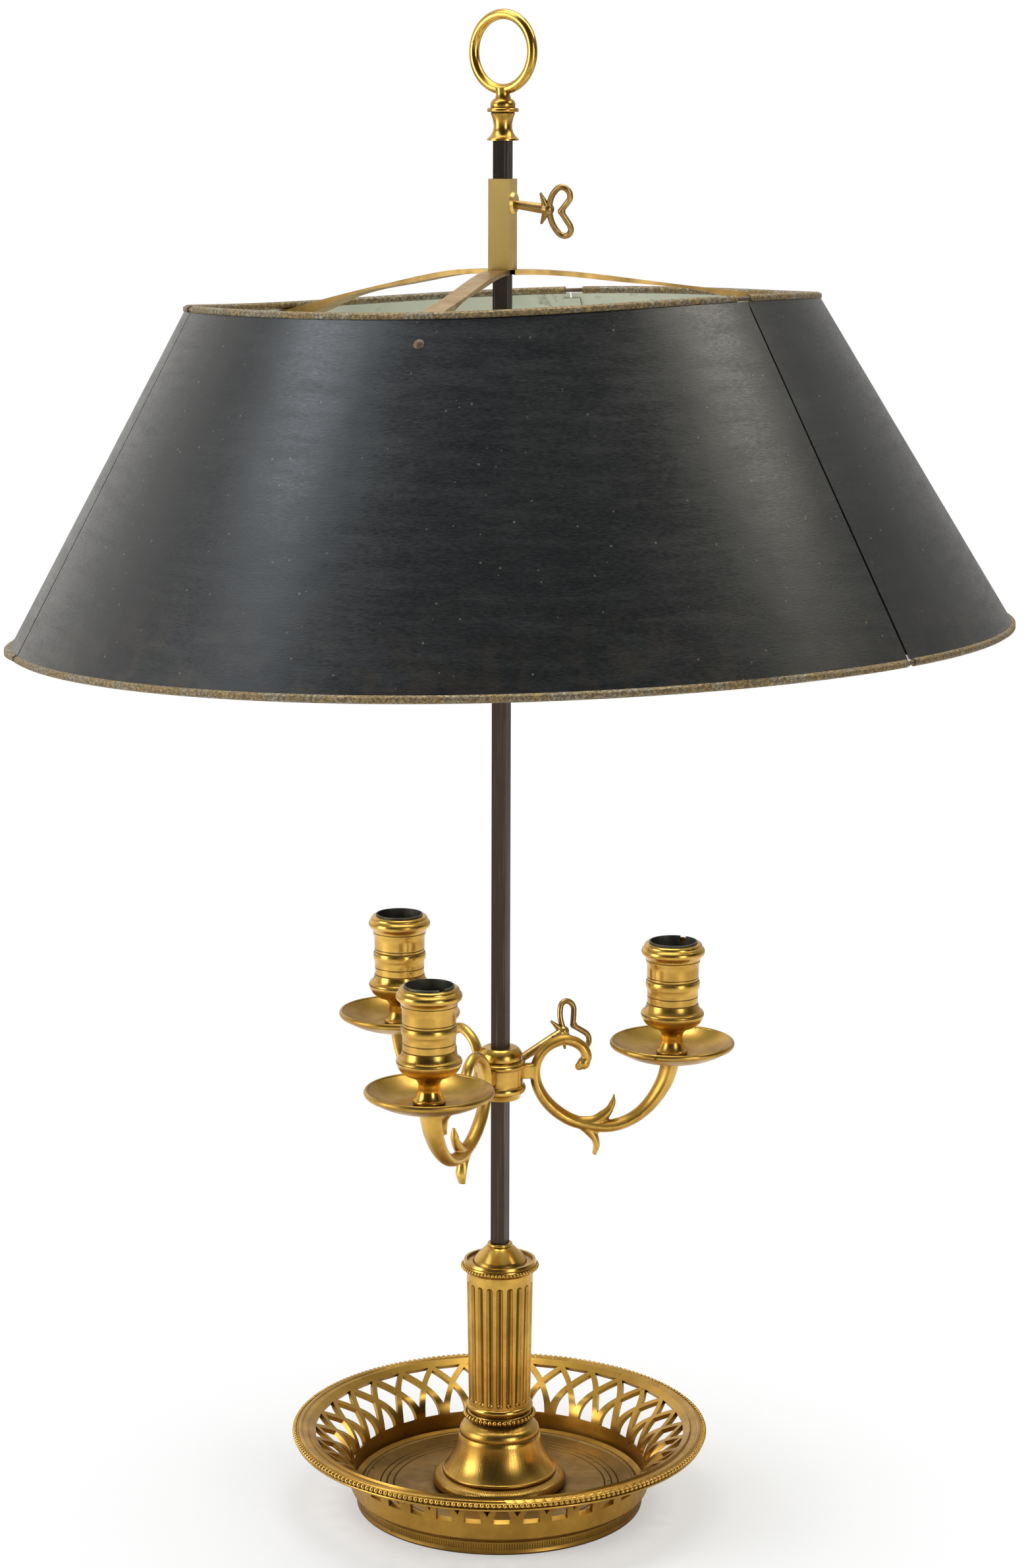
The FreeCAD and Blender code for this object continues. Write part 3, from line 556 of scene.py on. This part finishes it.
def candle_arm(name, turn):
    """One cast arm: scroll, sweep and two leaf spurs, run together as in the casting."""
    work = bmesh.new()
    cast_bar(work, ARM_LINE, ARM_SECTION)
    cast_bar(work, UPPER_SPUR, UPPER_SECTION)
    cast_bar(work, LOWER_SPUR, LOWER_SECTION)
    for at, radius in CURL:
        bmesh.ops.create_icosphere(work, subdivisions=3, radius=radius,
                                   matrix=Matrix.Translation(at))
    neck = Matrix.Translation(NECK_AT) @ Matrix.Diagonal((*NECK_SIZE, 1))
    bmesh.ops.create_cube(work, size=1.0, matrix=neck)
    bmesh.ops.transform(work, verts=work.verts, matrix=(
        Matrix.Rotation(math.radians(turn - 90), 4, "Z") @ Matrix.Scale(MM, 4)))
    bmesh.ops.recalc_face_normals(work, faces=work.faces)
    obj = piece("cast_arm_" + name, work, MATERIALS["arm_brass"])
    melt = obj.modifiers.new("melt", "REMESH")
    melt.mode, melt.voxel_size, melt.use_smooth_shade = "VOXEL", CASTING_CELL * MM, True
    file_down = obj.modifiers.new("file_down", "SMOOTH")
    file_down.factor, file_down.iterations = 0.5, CASTING_PASSES
    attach(obj, "candle_arms")
    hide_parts("candle_arm_" + name)


for node, obj in frame["nodes"].items():
    dress(node, obj)
for name, (node, count, radius, height, inset) in BEAD_ROWS.items():
    bead_row(name, node, count, radius, height, inset)
for name, turn in ARM_TURNS.items():
    candle_arm(name, turn)


# Stage

def floor():
    """Pale floor with the lamp's shadow, white further out and clear from below."""
    mat, g = material("floor")
    shader = g.add("BsdfPrincipled", {"Base Color": (0.9, 0.9, 0.9, 1), "Roughness": 0.9})
    glow = g.add("Emission", {"Color": (1, 1, 1, 1), "Strength": 1.0})
    _, radius, _ = g.polar(g.place())
    fade = g.math("MULTIPLY", g.fit(radius, *FLOOR_FADE),
                  g.add("LightPath").outputs["Is Camera Ray"])
    both = g.add("MixShader", {0: fade, 1: shader.outputs[0], 2: glow.outputs[0]})
    below = g.add("NewGeometry").outputs["Backfacing"]
    clear = g.add("BsdfTransparent")
    shown = g.add("MixShader", {0: below, 1: both.outputs[0], 2: clear.outputs[0]})
    g.add("OutputMaterial", {"Surface": shown.outputs[0]})
    work = bmesh.new()
    bmesh.ops.create_grid(work, x_segments=1, y_segments=1, size=FLOOR_HALF)
    obj = piece("floor", work, mat)
    obj.location.z = -FLOOR_DROP


def softbox(name, turn, rise, away, width, height, power, color):
    """Soft light at an azimuth from the front, a rise and a distance from the lamp's middle."""
    towards = Vector(SOFTBOX_AIM)
    turn, rise = math.radians(turn), math.radians(rise)
    at = towards + away * Vector((math.cos(rise) * math.sin(turn),
                                  -math.cos(rise) * math.cos(turn), math.sin(rise)))
    data = bpy.data.lights.new(name, "AREA")
    data.shape = "RECTANGLE"
    data.size, data.size_y = width, height
    data.energy = power
    data.color = color
    lamp = bpy.data.objects.new(name, data)
    lamp.location = at
    lamp.rotation_euler = (towards - at).to_track_quat("-Z", "Y").to_euler()
    bpy.context.scene.collection.objects.link(lamp)


def world():
    """White for the camera; in reflections the room is bright behind and dark in front."""
    room = bpy.data.worlds.new("room")
    room.use_nodes = True
    g = Graph(room.node_tree)
    g.tree.nodes.clear()
    seen = g.add("LightPath").outputs["Is Camera Ray"]
    ahead = g.add("TexCoord").outputs["Generated"]
    right, depth, _ = g.add("SeparateXYZ", {0: ahead}).outputs
    behind = g.math("MULTIPLY", g.fit(depth, -0.25, 0.7, DARK_ROOM, BRIGHT_ROOM),
                    g.fit(right, -0.8, 0.8, LEFT_SHARE, RIGHT_SHARE))
    dim = g.add("Background", {"Color": (1.0, 0.98, 0.94, 1), "Strength": behind})
    white = g.add("Background", {"Color": (1, 1, 1, 1), "Strength": 1.0})
    both = g.add("MixShader", {0: seen, 1: dim.outputs[0], 2: white.outputs[0]})
    g.add("OutputWorld", {"Surface": both.outputs[0]})
    bpy.context.scene.world = room


def camera():
    """The photograph's camera, from its fitted place and turns."""
    data = bpy.data.cameras.new("camera")
    data.sensor_width = SENSOR
    data.lens = FOCAL_PX / LONG_SIDE_PX * SENSOR
    ahead = Vector((math.sin(CAMERA_YAW) * math.cos(CAMERA_DOWN),
                    math.cos(CAMERA_YAW) * math.cos(CAMERA_DOWN), -math.sin(CAMERA_DOWN)))
    right = ahead.cross(Vector((0, 0, 1))).normalized()
    up = right.cross(ahead)
    c, s = math.cos(CAMERA_ROLL), math.sin(CAMERA_ROLL)
    right, up = right * c + up * s, up * c - right * s
    obj = bpy.data.objects.new("camera", data)
    turn = Matrix((right, up, -ahead)).transposed()
    obj.matrix_world = Matrix.Translation(CAMERA_AT) @ turn.to_4x4()
    bpy.context.scene.collection.objects.link(obj)
    bpy.context.scene.camera = obj


floor()
world()
camera()
for name, values in SOFTBOXES.items():
    softbox(name, *values)
bpy.context.scene.view_settings.view_transform = "Standard"
